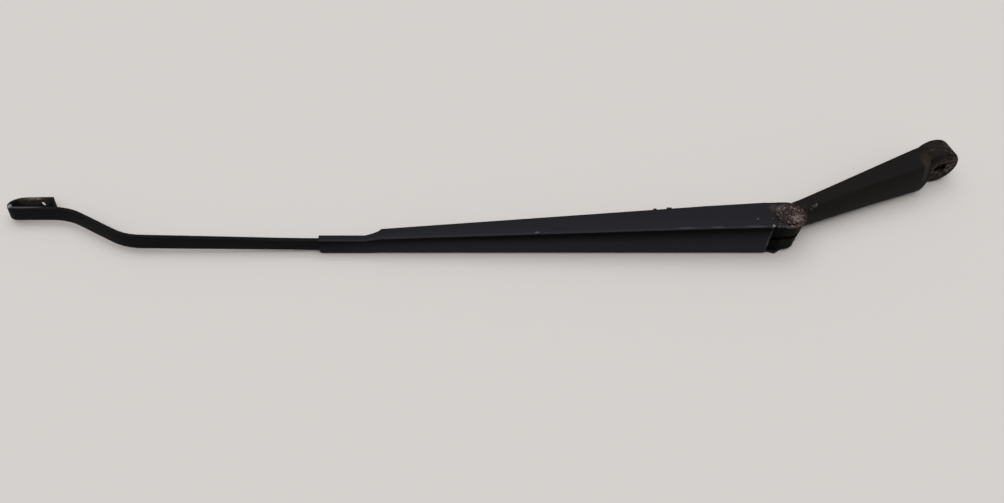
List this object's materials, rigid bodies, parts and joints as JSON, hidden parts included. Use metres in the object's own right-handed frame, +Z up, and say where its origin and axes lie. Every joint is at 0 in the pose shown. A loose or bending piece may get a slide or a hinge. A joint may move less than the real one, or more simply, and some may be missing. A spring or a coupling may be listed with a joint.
{
  "type": "wiper arm",
  "caption": "Windscreen wiper arm: cast mounting head with a tapered spindle bore, sprung hinge, tapered pressed channel and a flat S-bent rod that ends in a hook.",
  "frame": {"origin": "centre of the spindle bore at the nut face of the mounting head", "axes": "The arm lies on its side as in the picture: +Z up, across the arm's width; -X from the head to the hook; -Y to the arm's outer side, +Y to the glass side."},
  "size_m": [0.6289, 0.0822, 0.0282],
  "materials": {
    "cast_black": "satin",
    "sheet_black": "satin",
    "bar_black": "satin",
    "rusty_steel": "rusted",
    "washer_grey": "matt",
    "bush_bronze": "satin",
    "spring_steel": "satin"
  },
  "bodies": {
    "head": {"mounting_head": "cast_black", "hinge_bush_upper": "bush_bronze", "hinge_bush_lower": "bush_bronze", "link_pin": "spring_steel"},
    "arm": {"arm_channel": "sheet_black", "arm_rod": "bar_black", "hinge_rivet": "rusty_steel", "upper_washer": "rusty_steel", "side_washer_upper": "washer_grey", "side_washer_lower": "washer_grey"},
    "link": {"spring_link": "spring_steel", "tension_spring": "spring_steel"}
  },
  "joints": [
    {"name": "arm_lift", "type": "hinge", "parent": "head", "child": "arm", "pos_m": [-0.11757, -0.05309, 0], "axis": [0, 0, 1], "range_deg": [0, 80], "stiffness_Nm_per_rad": 0.25, "springref_deg": -57.3},
    {"name": "link_turn", "type": "hinge", "parent": "head", "child": "link", "pos_m": [-0.11407, -0.04458, 0], "axis": [0, 0, 1], "range_deg": [0, 78], "deforming": ["tension_spring"]}
  ],
  "couplings": [
    {"joint": "link_turn", "follows": "arm_lift", "ratio": 0.967}
  ]
}
